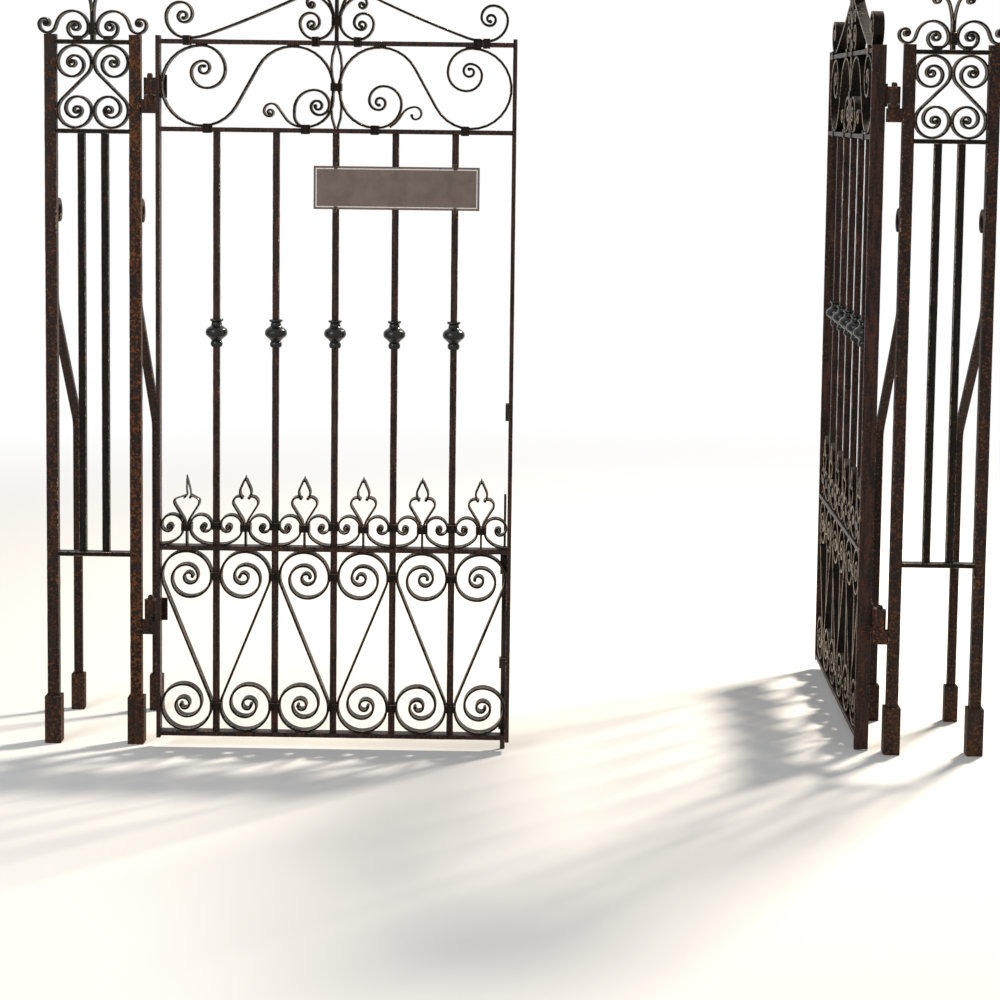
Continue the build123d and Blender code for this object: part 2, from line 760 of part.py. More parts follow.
def make_sign():
    """A thin plate on the front of the left leaf's bars, held by four clips at its edges."""
    front = bar_size / 2 + seat_gap
    with BuildPart() as plate:
        with BuildSketch(left_leaf.offset(front)):
            draw_block(sign_u, sign_bottom_z + sign_height / 2, sign_width, sign_height)
        extrude(amount=sign_thickness)
    finish(plate, "sign_plate")
    with BuildPart() as ties:
        for u in (bar_places[2], bar_places[4]):
            for edge, outward in ((sign_bottom_z, -1), (sign_bottom_z + sign_height, 1)):
                with BuildSketch(left_leaf.offset(bar_size / 2)):
                    draw_block(u, edge + outward * (seat_gap + tie_height / 4), tie_width, tie_height / 2)
                extrude(amount=2 * seat_gap + sign_thickness + tie_thickness)
                with BuildSketch(left_leaf.offset(front + sign_thickness + seat_gap)):
                    draw_block(u, edge, tie_width, tie_height)
                extrude(amount=tie_thickness)
    finish(ties, "sign_ties")


def make_bolt():
    """A round rod behind the meeting stile that drops to the ground, the guides it slides in, and
    the keep of a latch on the stile's inner face."""
    bolt_u = leaf_width - stile_width - bolt_radius
    bolt_w = leaf_depth / 2 + guide_wall + bolt_gap + bolt_radius
    with BuildPart() as bolt:
        foot = left_leaf.from_local_coords((bolt_u, 0, -bolt_w))
        with BuildSketch(Plane(origin=foot, x_dir=(1, 0, 0), z_dir=(0, 0, 1))):
            Circle(bolt_radius)
        extrude(amount=bolt_top_z)
        top = left_leaf.from_local_coords((bolt_u, bolt_top_z, -bolt_w))
        with BuildSketch(Plane(origin=top, x_dir=(1, 0, 0), z_dir=(0, 0, 1))):
            Circle(bolt_handle_radius)
        extrude(amount=bolt_handle_top_z - bolt_top_z)
    finish(bolt, "drop_bolt")
    with BuildPart() as guides:
        reach = bolt_radius + bolt_gap + guide_wall
        for height, guide_height in guide_places:
            base = left_leaf.from_local_coords((bolt_u, height - guide_height / 2, 0))
            with BuildSketch(Plane(origin=base, x_dir=(1, 0, 0), z_dir=(0, 0, 1))):
                draw_span(-reach, leaf_width - bolt_u, leaf_depth / 2, bolt_w + reach)
                with Locations((0, bolt_w)):
                    Circle(bolt_radius + bolt_gap, mode=Mode.SUBTRACT)
            extrude(amount=guide_height)
    finish(guides, "bolt_guides")
    with BuildPart() as keep:
        with BuildSketch(left_leaf):
            keep_width, keep_depth, keep_height = keep_size
            draw_block(leaf_width - stile_width - keep_width / 2, keep_z, keep_width, keep_height)
        extrude(amount=keep_depth / 2, both=True)
    finish(keep, "latch_keep")


for side, plane, back in (("left", left_leaf, 1), ("right", right_leaf, -1)):
    make_stiles(side, plane)
    make_rails(side, plane)
    make_bars(side, plane)
    make_knops(side, plane)
    make_frieze_scrolls(side, plane)
    make_finials(side, plane)
    make_lower_scrolls(side, plane)
    make_crest(side, plane)
    make_hinge_eyes(side, plane, back)
make_wing("left", upright_plane((0, 0, 0), 180))
make_wing("right", upright_plane((opening_width, 0, 0), 0))
make_posts()
make_stays()
make_gudgeons()
make_sign()
make_bolt()
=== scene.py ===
import json
from math import cos, radians, sin

import bmesh
import bpy
from mathutils import Matrix, Vector

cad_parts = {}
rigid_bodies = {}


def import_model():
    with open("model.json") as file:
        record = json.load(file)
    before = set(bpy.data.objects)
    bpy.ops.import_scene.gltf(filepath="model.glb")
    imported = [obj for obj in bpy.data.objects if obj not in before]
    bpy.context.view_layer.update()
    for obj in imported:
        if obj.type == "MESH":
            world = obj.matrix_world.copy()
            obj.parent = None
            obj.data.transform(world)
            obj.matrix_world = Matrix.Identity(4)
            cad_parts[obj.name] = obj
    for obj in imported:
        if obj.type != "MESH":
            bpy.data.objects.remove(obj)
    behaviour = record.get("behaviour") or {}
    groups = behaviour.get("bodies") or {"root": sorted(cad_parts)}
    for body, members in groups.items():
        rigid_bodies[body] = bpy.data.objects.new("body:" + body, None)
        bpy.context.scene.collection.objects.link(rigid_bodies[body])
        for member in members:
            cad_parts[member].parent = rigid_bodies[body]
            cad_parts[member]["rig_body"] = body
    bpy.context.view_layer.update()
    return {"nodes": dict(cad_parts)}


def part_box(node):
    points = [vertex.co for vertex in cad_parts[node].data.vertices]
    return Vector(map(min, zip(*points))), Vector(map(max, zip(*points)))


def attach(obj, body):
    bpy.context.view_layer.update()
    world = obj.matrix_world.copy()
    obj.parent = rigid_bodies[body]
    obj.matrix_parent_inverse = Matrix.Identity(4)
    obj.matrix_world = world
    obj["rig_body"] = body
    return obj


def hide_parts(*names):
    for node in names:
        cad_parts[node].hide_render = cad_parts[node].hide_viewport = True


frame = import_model()

# The view: a long lens at eye height, square to the closed leaf and a little down, on a pale floor
# that runs out into white, under a wide soft light with a warmer, harder one from behind on the right.
eye = Vector((0.9415, -5.777, 1.588))
yaw, pitch, roll = radians(-0.511), radians(5.406), radians(0.699)
camera = bpy.data.objects.new("camera", bpy.data.cameras.new("camera"))
bpy.context.scene.collection.objects.link(camera)
camera.data.lens = 85.57
camera.data.sensor_width = 36
camera.data.shift_y = -0.17
turned = Matrix.Rotation(-yaw, 4, "Z") @ Matrix.Rotation(radians(90) - pitch, 4, "X")
turned = turned @ Matrix.Rotation(roll, 4, "Z")
camera.matrix_world = Matrix.Translation(eye) @ turned
bpy.context.scene.camera = camera
bpy.context.scene.view_settings.view_transform = "Standard"


def hang_lamp(name, place, aim, width, power, colour):
    """A square lamp at a place, turned to what it aims at."""
    lamp = bpy.data.objects.new(name, bpy.data.lights.new(name, "AREA"))
    bpy.context.scene.collection.objects.link(lamp)
    lamp.data.size = width
    lamp.data.energy = power
    lamp.data.color = colour
    lamp.location = place
    lamp.rotation_euler = (Vector(aim) - Vector(place)).to_track_quat("-Z", "Y").to_euler()


hang_lamp("window", (-2.6, -4.4, 3.4), (0.8, 0, 0.9), 2.6, 170, (0.97, 0.98, 1))
hang_lamp("low_sun", (3.8, 2.6, 4.6), (0.7, 0, 1.0), 0.7, 520, (1, 0.90, 0.76))


class Wire:
    """A socket of a node tree. A sum on wires adds the Math nodes that it needs."""

    def __init__(self, socket):
        self.socket = socket

    def node(self, kind, settings=(), sockets=(), output=0):
        """Adds a node: its settings come first, then the values or the wires of its sockets."""
        tree = self.socket.id_data
        made = tree.nodes.new(kind)
        for name, value in dict(settings).items():
            if name == "curve":
                points = made.mapping.curves[0].points
                while len(points) < len(value):
                    points.new(0.5, 0.5)
                for point, (place, height, handle) in zip(points, value):
                    point.location = (place, height)
                    point.handle_type = handle
                made.mapping.update()
            else:
                setattr(made, name, value)
        for name, value in dict(sockets).items():
            if isinstance(value, Wire):
                tree.links.new(value.socket, made.inputs[name])
            else:
                made.inputs[name].default_value = value
        return Wire(made.outputs[output]) if made.outputs else None

    def beside(self, name):
        """Another output of the node that this wire leaves."""
        return Wire(self.socket.node.outputs[name])

    def sums(self, operation, first, second):
        return self.node("ShaderNodeMath", {"operation": operation}, {0: first, 1: second})

    def __add__(self, other):
        return self.sums("ADD", self, other)

    def __sub__(self, other):
        return self.sums("SUBTRACT", self, other)

    def __mul__(self, other):
        return self.sums("MULTIPLY", self, other)

    def __truediv__(self, other):
        return self.sums("DIVIDE", self, other)

    def __rsub__(self, other):
        return self.sums("SUBTRACT", other, self)

    __radd__ = __add__
    __rmul__ = __mul__

    def ramp(self, low, high):
        """A soft step from 0 to 1 between two values."""
        stops = {"Value": self, "From Min": low, "From Max": high}
        return self.node("ShaderNodeMapRange", {"interpolation_type": "SMOOTHSTEP"}, stops)

    def blend(self, first, second):
        """A colour between two colours, by this wire."""
        return self.node("ShaderNodeMix", {"data_type": "RGBA"}, {0: self, 6: first, 7: second}, 2)

    def noise(self, scale, detail, roughness):
        """Noise over a place, of about so many lumps a metre."""
        sockets = {"Vector": self, "Scale": scale, "Detail": detail, "Roughness": roughness}
        return self.node("ShaderNodeTexNoise", {}, sockets)


def new_finish(name):
    """An empty material, with the wire of the place on the object."""
    finish = bpy.data.materials.new(name)
    finish.use_nodes = True
    finish.node_tree.nodes.clear()
    here = Wire(finish.node_tree.nodes.new("ShaderNodeTexCoord").outputs["Object"])
    return finish, here


def end_finish(shader):
    shader.node("ShaderNodeOutputMaterial", {}, {"Surface": shader})


def plain_view(camera_ray):
    """1 where the camera looks at a thing itself, in a gloss or through something clear."""
    seen = camera_ray.sums("MAXIMUM", camera_ray, camera_ray.beside("Is Glossy Ray"))
    return camera_ray.sums("MAXIMUM", seen, camera_ray.beside("Is Transmission Ray"))


paper, here = new_finish("pale_floor")
ground = here.node("ShaderNodeBsdfDiffuse", {}, {"Color": (0.80, 0.79, 0.77, 1)})
glow = here.node("ShaderNodeEmission", {}, {"Color": (1, 1, 1, 1), "Strength": 1})
floor_middle = (0.9, 0.2, 0)
run_out = here.node("ShaderNodeVectorMath", {"operation": "DISTANCE"}, {0: here, 1: floor_middle}, "Value")
run_out = run_out.ramp(1.6, 6.0) * plain_view(here.node("ShaderNodeLightPath", {}, {}, "Is Camera Ray"))
end_finish(ground.node("ShaderNodeMixShader", {}, {0: run_out, 1: ground, 2: glow}))
floor_mesh = bpy.data.meshes.new("floor")
floor_mesh.from_pydata([(-40, -12, 0), (42, -12, 0), (42, 60, 0), (-40, 60, 0)], [], [(0, 1, 2, 3)])
floor_mesh.materials.append(paper)
floor = bpy.data.objects.new("floor", floor_mesh)
bpy.context.scene.collection.objects.link(floor)

sky = bpy.data.worlds.new("white_room")
bpy.context.scene.world = sky
sky.use_nodes = True
sky.node_tree.nodes.clear()
rays = Wire(sky.node_tree.nodes.new("ShaderNodeLightPath").outputs["Is Camera Ray"])
soft = rays.node("ShaderNodeBackground", {}, {"Color": (0.93, 0.96, 1, 1), "Strength": 0.38})
white = rays.node("ShaderNodeBackground", {}, {"Color": (1, 1, 1, 1), "Strength": 1})
room = rays.node("ShaderNodeMixShader", {}, {0: plain_view(rays), 1: soft, 2: white})
room.node("ShaderNodeOutputWorld", {}, {"Surface": room})

# The four posts: square iron bars, 28 mm thick, that stand in boots. Their paint has mostly gone, and
# what is left is dark brown iron with orange rust that has eaten pits into its faces.
old_black = (0.008, 0.006, 0.005, 1)
bare_iron = (0.42, 0.32, 0.22, 1)


def weathered_iron(name, paint, bloom, rust, rusted, roughness, rubbed, spots, shine=0.14):
    """Old dark paint on forged iron: a brown bloom in it, rust with pits where it has flaked off, and
    bare iron along the rubbed edges. Rusted and rubbed are the shares of the surface and the edges,
    and spots is how far the rust breaks up into small spots."""
    finish, here = new_finish(name)
    clouds = here.noise(15, 4, 0.62)
    grains = here.noise(170, 4, 0.72)
    specks = here.noise(640, 2, 0.6)
    drawn_out = (1, 1, 0.12)
    fall = here.node("ShaderNodeVectorMath", {"operation": "MULTIPLY"}, {0: here, 1: drawn_out})
    streaks = fall.noise(120, 2, 0.6)
    patches = grains * spots + clouds * (0.75 * (1 - spots)) + streaks * (0.25 * (1 - spots))
    noise_spread = 0.34
    level = 0.5 + (0.5 - rusted) * noise_spread
    flaked = patches.ramp(level - 0.025, level + 0.045)
    edge = here.node("ShaderNodeAttribute", {"attribute_name": "worn"}, {}, "Fac")
    rub_level = 0.62 - 0.25 * rubbed
    rub = edge * (clouds * 0.4 + grains * 0.6).ramp(rub_level, rub_level + 0.08)
    dull = [0.35 * channel for channel in rust[:3]] + [1]
    skin = (grains * 0.5 + streaks * 0.5).ramp(0.40, 0.62).blend(paint, bloom)
    scale = specks.ramp(0.36, 0.64).blend(dull, rust)
    colour = rub.blend(flaked.blend(skin, scale), bare_iron)
    rough = roughness + flaked * 0.3 + (grains - 0.5) * 0.4
    relief = here.noise(55, 2, 0.5) * 0.9 + grains * 0.35 + flaked * (grains * 0.6 + specks * 0.6)
    bump = relief.node("ShaderNodeBump", {}, {"Strength": 0.9, "Distance": 0.0013, "Height": relief})
    shader = colour.node(
        "ShaderNodeBsdfPrincipled",
        {},
        {
            "Base Color": colour,
            "Roughness": rough - rub * 0.15,
            "Metallic": rub * 0.7,
            "Specular IOR Level": shine,
            "Normal": bump,
        },
    )
    end_finish(shader)
    return finish


def new_tree(name, sizes):
    """An empty Geometry Nodes tree with a named input for each size, and the wires of those inputs."""
    tree = bpy.data.node_groups.new(name, "GeometryNodeTree")
    tree.interface.new_socket("Grown", in_out="OUTPUT", socket_type="NodeSocketGeometry")
    tree.interface.new_socket("Places", in_out="INPUT", socket_type="NodeSocketGeometry")
    for size, kind in sizes.items():
        tree.interface.new_socket(size, in_out="INPUT", socket_type="NodeSocket" + kind)
    tree.interface.new_socket("Finish", in_out="INPUT", socket_type="NodeSocketMaterial")
    start = tree.nodes.new("NodeGroupInput")
    return tree, {socket.name: Wire(socket) for socket in start.outputs if socket.name}


def cut_section(width, depth, corner):
    """A rectangle with its corners cut, from the wires of its sides."""
    section = width.node("GeometryNodeCurvePrimitiveQuadrilateral", {}, {"Width": width, "Height": depth})
    cut = {"Curve": section, "Radius": corner, "Count": 1}
    return section.node("GeometryNodeFilletCurve", {"mode": "POLY"}, cut)


def set_out(shape, given, **more):
    """The shape at each of the tree's places, as real faces."""
    placed = {"Points": given["Places"], "Instance": shape} | more
    placed = shape.node("GeometryNodeInstanceOnPoints", {}, placed)
    return placed.node("GeometryNodeRealizeInstances", {}, {"Geometry": placed})


def dented(shape, place, scale, roughness, depth):
    """The shape with its points pushed in and out along their normals, by noise over a place."""
    blow = (place.noise(scale, 2, roughness) - 0.5) * 2 * depth
    normal = blow.node("GeometryNodeInputNormal")
    push = blow.node("ShaderNodeVectorMath", {"operation": "SCALE"}, {0: normal, "Scale": blow})
    return shape.node("GeometryNodeSetPosition", {}, {"Geometry": shape, "Offset": push})


def end_tree(grown, given):
    painted = grown.node("GeometryNodeSetMaterial", {}, {"Geometry": grown, "Material": given["Finish"]})
    painted.node("NodeGroupOutput", {}, {0: painted})


def show(name, mesh):
    """A new piece with its faces smooth up to its sharp edges."""
    mesh.name = name
    for face in mesh.polygons:
        face.use_smooth = True
    mesh.set_sharp_from_angle(angle=radians(32))
    piece = bpy.data.objects.new(name, mesh)
    bpy.context.scene.collection.objects.link(piece)
    return piece


def grow(name, tree, places, sizes, finish, lie=Matrix.Identity(4)):
    """What a tree grows on loose points, as a plain mesh laid where the points belong."""
    seeds = bpy.data.meshes.new("seeds")
    seeds.from_pydata(places, [], [])
    bed = bpy.data.objects.new("bed", seeds)
    bpy.context.scene.collection.objects.link(bed)
    growth = bed.modifiers.new("growth", "NODES")
    growth.node_group = tree
    for entry in tree.interface.items_tree:
        if entry.in_out == "INPUT" and entry.name in sizes:
            growth[entry.identifier] = sizes[entry.name]
        elif entry.in_out == "INPUT" and entry.name == "Finish":
            growth[entry.identifier] = finish
    bpy.context.view_layer.update()
    state = bpy.context.evaluated_depsgraph_get()
    grown = bed.evaluated_get(state)
    mesh = bpy.data.meshes.new_from_object(grown, preserve_all_data_layers=True, depsgraph=state)
    bpy.data.objects.remove(bed)
    mesh.materials.clear()
    mesh.materials.append(finish)
    mesh.transform(lie)
    return show(name, mesh)


def stand_for(piece, node):
    """The piece takes the place of the node on its body, and the node is hidden."""
    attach(piece, frame["nodes"][node]["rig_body"])
    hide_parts(node)


bar_sizes = dict.fromkeys(("Width", "Depth", "Length", "Corner", "Step", "Dent", "Seed"), "Float")
forged_bar, given = new_tree("forged_bar", bar_sizes | {"Turn": "Vector"})
outline = cut_section(given["Width"], given["Depth"], given["Corner"])
top = given["Length"].node("ShaderNodeCombineXYZ", {}, {"Z": given["Length"]})
run = top.node("GeometryNodeCurvePrimitiveLine", {}, {"Start": (0, 0, 0), "End": top})
run = run.node("GeometryNodeResampleCurve", {"mode": "LENGTH"}, {"Curve": run, "Length": given["Step"]})
rod = run.node("GeometryNodeCurveToMesh", {}, {"Curve": run, "Profile Curve": outline, "Fill Caps": True})
across = rod.node("ShaderNodeSeparateXYZ", {}, {0: rod.node("GeometryNodeInputNormal")})
corner = across.sums("ABSOLUTE", across * across.beside("Y") * 2, 0)
marked = {"Geometry": rod, "Name": "worn", "Value": corner}
rod = rod.node("GeometryNodeStoreNamedAttribute", {"domain": "FACE"}, marked)
rods = set_out(rod, given, Rotation=given["Turn"])
shift = given["Seed"].node("ShaderNodeCombineXYZ", {}, {"X": given["Seed"]})
spot = rods.node("GeometryNodeInputPosition")
spot = spot.node("ShaderNodeVectorMath", {"operation": "ADD"}, {0: spot, 1: shift})
end_tree(dented(rods, spot, 38, 0.5, given["Dent"]), given)

plain_bar = {"Corner": 0.001, "Step": 0.011, "Turn": (0, 0, 0)}
level_turn = (0, radians(90), 0)


def forge(node, places, sizes, finish, lie=Matrix.Identity(4)):
    """Forged bars that take the place of a node."""
    stand_for(grow(node + "_iron", forged_bar, places, plain_bar | sizes, finish, lie), node)


post_iron = weathered_iron(
    "rusted_post_iron",
    paint=old_black,
    bloom=(0.028, 0.015, 0.010, 1),
    rust=(0.18, 0.064, 0.024, 1),
    rusted=0.36,
    roughness=0.50,
    rubbed=0.3,
    spots=0.85,
)
left_post_iron = weathered_iron(
    "orange_post_iron",
    paint=old_black,
    bloom=(0.030, 0.016, 0.010, 1),
    rust=(0.22, 0.078, 0.028, 1),
    rusted=0.46,
    roughness=0.52,
    rubbed=0.3,
    spots=0.72,
)
opening, wing, post_size = 1.870, 0.205, 0.028
post_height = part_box("left_gate_post")[1].z
posts = {
    "left_gate_post": 0,
    "right_gate_post": opening,
    "left_end_post": -wing,
    "right_end_post": opening + wing,
}
for number, (node, x) in enumerate(posts.items()):
    sizes = {"Width": post_size, "Depth": post_size, "Length": post_height, "Corner": 0.0015, "Dent": 0.0008}
    iron = left_post_iron if node == "left_gate_post" else post_iron
    forge(node, [(x, 0, 0)], sizes | {"Seed": 3.0 + number}, iron)

# The boots: thick iron sleeves, driven over the feet of the posts and of the stays to keep the wet
# off them. They are the most rusted iron of the gate, dull and caked.
strip_slack = 0.0002
flat_enough = 0.9995
bend_step = radians(12)
snub_sides, snub_swell, snub_taper, snub_crown = 12, 1.45, 0.75, 0.0004


def strip_ends(solid, strips):
    """Where strips of the thicknesses and widths given end in the open: the middle of the end, the way
    it points, the side it curls to, the radius of that curl, and half the strip's thickness and width."""
    ends = []
    for cap in solid.faces:
        if len(cap.verts) != 4:
            continue
        long = max(cap.edges, key=lambda edge: edge.calc_length())
        thick, wide = sorted((cap.edges[0].calc_length(), cap.edges[1].calc_length()))
        fits = [max(abs(strip[0] - thick), abs(strip[1] - wide)) < strip_slack for strip in strips]
        shared = [edge for edge in cap.edges if len(edge.link_faces) == 2]
        sides = [next(face for face in edge.link_faces if face is not cap) for edge in shared]
        square = all(abs(side.normal.dot(cap.normal)) <= 0.2 for side in sides)
        if not any(fits) or len(sides) != 4 or not square:
            continue
        axis = (long.verts[1].co - long.verts[0].co).normalized()
        inner = max(sides, key=lambda side: side.normal.dot(cap.normal))
        inward = axis.cross(cap.normal).normalized()
        inward *= 1 if inward.dot(inner.normal) > 0 else -1
        foot = cap.calc_center_median() + inward * thick / 2
        chords = [vert.co - foot for vert in inner.verts if vert not in cap.verts]
        chords = [chord - axis * chord.dot(axis) for chord in chords]
        depths = [chord.dot(inward) for chord in chords]
        if not chords or min(depths) < 0.00001 or abs(axis.dot(inner.normal)) > 0.01:
            continue
        radius = chords[0].length_squared / (2 * depths[0]) + thick / 2
        ends.append((cap.calc_center_median(), cap.normal.copy(), inward, radius, thick / 2, wide / 2))
    return ends


def walk(spot, course, across, bends):
    """Stations along a bent path: the place, the way ahead and the side to the left of it. A bend is a
    radius and a turn in degrees, left turns positive, and one with no turn is a straight run."""
    axis = course.cross(across)
    stations = [(spot, course, across)]
    for size, turn in bends:
        if turn == 0:
            spot = spot + course * size
            stations.append((spot, course, across))
            continue
        pieces = max(2, round(abs(radians(turn)) / bend_step))
        centre = spot + across * (size if turn > 0 else -size)
        swing = Matrix.Rotation(radians(turn) / pieces, 3, axis)
        for piece in range(pieces):
            spot, course, across = centre + swing @ (spot - centre), swing @ course, swing @ across
            stations.append((spot, course, across))
    return stations


def join_rings(solid, rings):
    """The faces between rings of points that follow each other, in order round each pair."""
    made = []
    for first, second in zip(rings, rings[1:]):
        for n in range(len(first)):
            made.append(solid.faces.new((first[n], first[n - 1], second[n - 1], second[n])))
    return made


def hammer_strip(solid, worn, stations, thin, wide, edge, snubs=(False, True)):
    """A strip of half that thickness and width along the stations, with rubbed edges, and with its
    first and last end rolled into a round snub or cut square."""
    axis = stations[0][1].cross(stations[0][2])
    corners = []
    for side, depth in ((1, 1), (-1, 1), (-1, -1), (1, -1)):
        near = (side * thin, depth * (wide - edge))
        far = (side * (thin - edge), depth * wide)
        corners += [near, far] if side * depth > 0 else [far, near]
    rings = []
    for spot, course, across in stations:
        rings.append([solid.verts.new(spot + across * a + axis * b) for a, b in corners])
    made = [solid.faces.new(rings[0]), solid.faces.new(rings[-1])]
    skin = join_rings(solid, rings)
    for number, face in enumerate(skin):
        face[worn] = number % 2
    made += skin
    for snub, (spot, course, across) in zip(snubs, (stations[0], stations[-1])):
        if not snub:
            continue
        turns = [Matrix.Rotation(n * radians(360 / snub_sides), 3, axis) for n in range(snub_sides)]
        arms = [turn @ across * thin * snub_swell for turn in turns]
        crown, shoulder = (snub_taper, wide + snub_crown), (1, wide - edge)
        levels = [crown, shoulder, (1, -shoulder[1]), (snub_taper, -crown[1])]
        hoops = []
        for share, level in levels:
            hoops.append([solid.verts.new(spot + arm * share + axis * level) for arm in arms])
        made += join_rings(solid, hoops)
        made += [solid.faces.new(hoops[0]), solid.faces.new(hoops[-1])]
    bmesh.ops.recalc_face_normals(solid, faces=made)


def rolled(radius, turn=90, shares=(0.80, 0.62, 0.46)):
    """The bends that roll the end of a strip tighter, in quarter turns of shares of its last radius."""
    tightest = 0.0040
    return [(max(radius * share, tightest), turn) for share in shares]


def rub_strips(solid, worn, axis, edge):
    """Breaks the edges of strips that lie flat to the axis: their faces are drawn in and the rims left
    round them are set back and marked as worn."""
    for way in (axis, -axis):
        flat = [face for face in solid.faces if face.normal.dot(way) > flat_enough]
        rims = bmesh.ops.inset_region(
            solid, faces=flat, thickness=edge, depth=0, use_boundary=True, use_even_offset=False
        )["faces"]
        kept = {vert for face in flat for vert in face.verts}
        for face in rims:
            face[worn] = 1
        for vert in {vert for face in rims for vert in face.verts} - kept:
            vert.co -= way * edge


def eased(node, edge, finish, strips=(), axis=None):
    """A copy of a solid with its doubled points merged, its sharp edges broken by a chamfer that is
    marked as worn, and the open ends of its strips rolled up. Strips that lie flat to an axis are
    chamfered by that axis, and any other solid by its angles."""
    solid = bmesh.new()
    solid.from_mesh(frame["nodes"][node].data)
    bmesh.ops.remove_doubles(solid, verts=solid.verts, dist=0.00001)
    in_plane = radians(0.4)
    if axis:
        sides = {face for face in solid.faces if abs(face.normal.dot(axis)) < flat_enough}
        seams = [seam for seam in solid.edges if sides.issuperset(seam.link_faces)]
        bmesh.ops.dissolve_limit(solid, angle_limit=in_plane, verts=[], edges=seams)
    else:
        bmesh.ops.dissolve_limit(solid, angle_limit=in_plane, verts=solid.verts, edges=solid.edges)
    ends = strip_ends(solid, strips)
    worn = solid.faces.layers.float.new("worn")
    if axis:
        rub_strips(solid, worn, axis, edge)
    else:
        sharp = [e for e in solid.edges if len(e.link_faces) == 2 and e.calc_face_angle() > radians(40)]
        cut = bmesh.ops.bevel(
            solid, geom=sharp, offset=edge, segments=1, profile=0.5, affect="EDGES", clamp_overlap=False
        )
        for face in cut["faces"]:
            face[worn] = 1
    bmesh.ops.triangulate(solid, faces=[f for f in solid.faces if len(f.verts) > 4])
    lap = 0.0004
    for place, ahead, inward, radius, thin, wide in ends:
        stations = walk(place - ahead * lap, ahead, inward, rolled(radius))
        hammer_strip(solid, worn, stations, thin, wide, edge)
    mesh = bpy.data.meshes.new(node)
    solid.to_mesh(mesh)
    solid.free()
    mesh.materials.clear()
    mesh.materials.append(finish)
    return show(node + "_iron", mesh)


boot_iron = weathered_iron(
    "caked_boot_iron",
    paint=(0.012, 0.009, 0.008, 1),
    bloom=(0.034, 0.022, 0.015, 1),
    rust=(0.15, 0.060, 0.026, 1),
    rusted=0.46,
    roughness=0.62,
    rubbed=0.2,
    spots=0.8,
)
for node in ("post_boots", "stay_boots"):
    stand_for(eased(node, 0.0012, boot_iron), node)

# The stays: a flat bar behind each post, rolled into a curl at its top, that leaves the post half way
# down and runs out to its own foot. Forged, painted with the posts and rusted as they are.
stand_for(eased("back_stays", 0.0014, post_iron), "back_stays")

# Side panels: two square bars between flat rails in each, tenoned into the posts. Their paint is made
# blacker than that of the leaves, as painted shade for the shade of the hedge that falls on them.
panel_finish_in_painted_shade = weathered_iron(
    "side_panels_in_painted_shade",
    paint=(0.006, 0.006, 0.005, 1),
    bloom=(0.016, 0.012, 0.009, 1),
    rust=(0.13, 0.050, 0.022, 1),
    rusted=0.22,
    roughness=0.36,
    rubbed=0.7,
    spots=0.8,
    shine=0.06,
)
panel_rails = (1.728, 1.513, 0.475)
rail_thickness, strip_width = 0.011, 0.028
panel_bar, panel_bar_offset = 0.018, 0.0285
panel_strips = [(0.006, strip_width), (0.005, strip_width)]
scroll_edge = 0.0009
for side, outer_x in (("left", -wing), ("right", opening)):
    sizes = {"Width": rail_thickness, "Depth": strip_width, "Length": wing - post_size}
    sizes |= {"Dent": 0.0004, "Seed": 9.0, "Turn": level_turn}
    starts = [(outer_x + post_size / 2, 0, z) for z in panel_rails]
    forge(side + "_wing_rails", starts, sizes, panel_finish_in_painted_shade)
    bar_foot = panel_rails[2] + rail_thickness / 2
    bar_length = panel_rails[1] - rail_thickness / 2 - bar_foot
    sizes |= {"Width": panel_bar, "Depth": panel_bar, "Length": bar_length, "Turn": (0, 0, 0)}
    feet = [(outer_x + wing / 2 + way * panel_bar_offset, 0, bar_foot) for way in (-1, 1)]
    forge(side + "_wing_bars", feet, sizes, panel_finish_in_painted_shade)
    # The panels' scrolls and crest carry the same painted shade of the hedge in their darker paint.
    for node in (side + "_wing_scrolls", side + "_wing_crest"):
        stand_for(eased(node, scroll_edge, panel_finish_in_painted_shade, panel_strips, Vector((0, 1, 0))), node)

# The leaves' frame: two upright flats and four level ones, riveted and forge-welded at their ends, with
# five square bars tenoned between the bottom rail and the frieze rail. Old black paint gone brown.
leaves = {
    "left": Matrix.Translation((0.056, -0.035, 0)),
    "right": Matrix.Translation((1.800185, 0.021304, 0)) @ Matrix.Rotation(radians(89.5), 4, "Z"),
}
leaf_width, bay = 0.868, 0.144
bar_paint = weathered_iron(
    "brown_bar_paint",
    paint=old_black,
    bloom=(0.052, 0.023, 0.015, 1),
    rust=(0.17, 0.058, 0.024, 1),
    rusted=0.28,
    roughness=0.42,
    rubbed=0.3,
    spots=0.8,
)
leaf_rails = (1.731, 1.521, 0.501, 0.038)
stile_thickness, stile_foot, heel_length = 0.010, 0.027, 0.024
bar_size = 0.016
bar_places = [leaf_width / 2 + bay * (n - 2) for n in range(5)]
for side, lie in leaves.items():
    stile = {"Width": stile_thickness, "Depth": 0.035, "Length": 1.718, "Dent": 0.0005, "Seed": 21.0}
    inset = stile_thickness / 2
    for name, u in (("_hinge_stile", inset), ("_meeting_stile", leaf_width - inset)):
        node = side + name
        # The open leaf's hinge stile runs on below its rail, almost to the ground.
        heel = heel_length if node == "right_hinge_stile" else 0
        forge(node, [(u, 0, stile_foot - heel)], stile | {"Length": stile["Length"] + heel}, bar_paint, lie)
    rail_length = leaf_width - 2 * stile_thickness
    rail = stile | {"Width": rail_thickness, "Length": rail_length, "Turn": level_turn}
    starts = [(stile_thickness, 0, z) for z in leaf_rails]
    forge(side + "_rails", starts, rail, bar_paint, lie)
    bar_foot = leaf_rails[3] + rail_thickness / 2
    bar_length = leaf_rails[1] - rail_thickness / 2 - bar_foot
    bar = stile | {"Width": bar_size, "Depth": bar_size, "Length": bar_length}
    bar |= {"Corner": 0.0012, "Dent": 0.0007}
    forge(side + "_bars", [(u, 0, bar_foot) for u in bar_places], bar, bar_paint, lie)

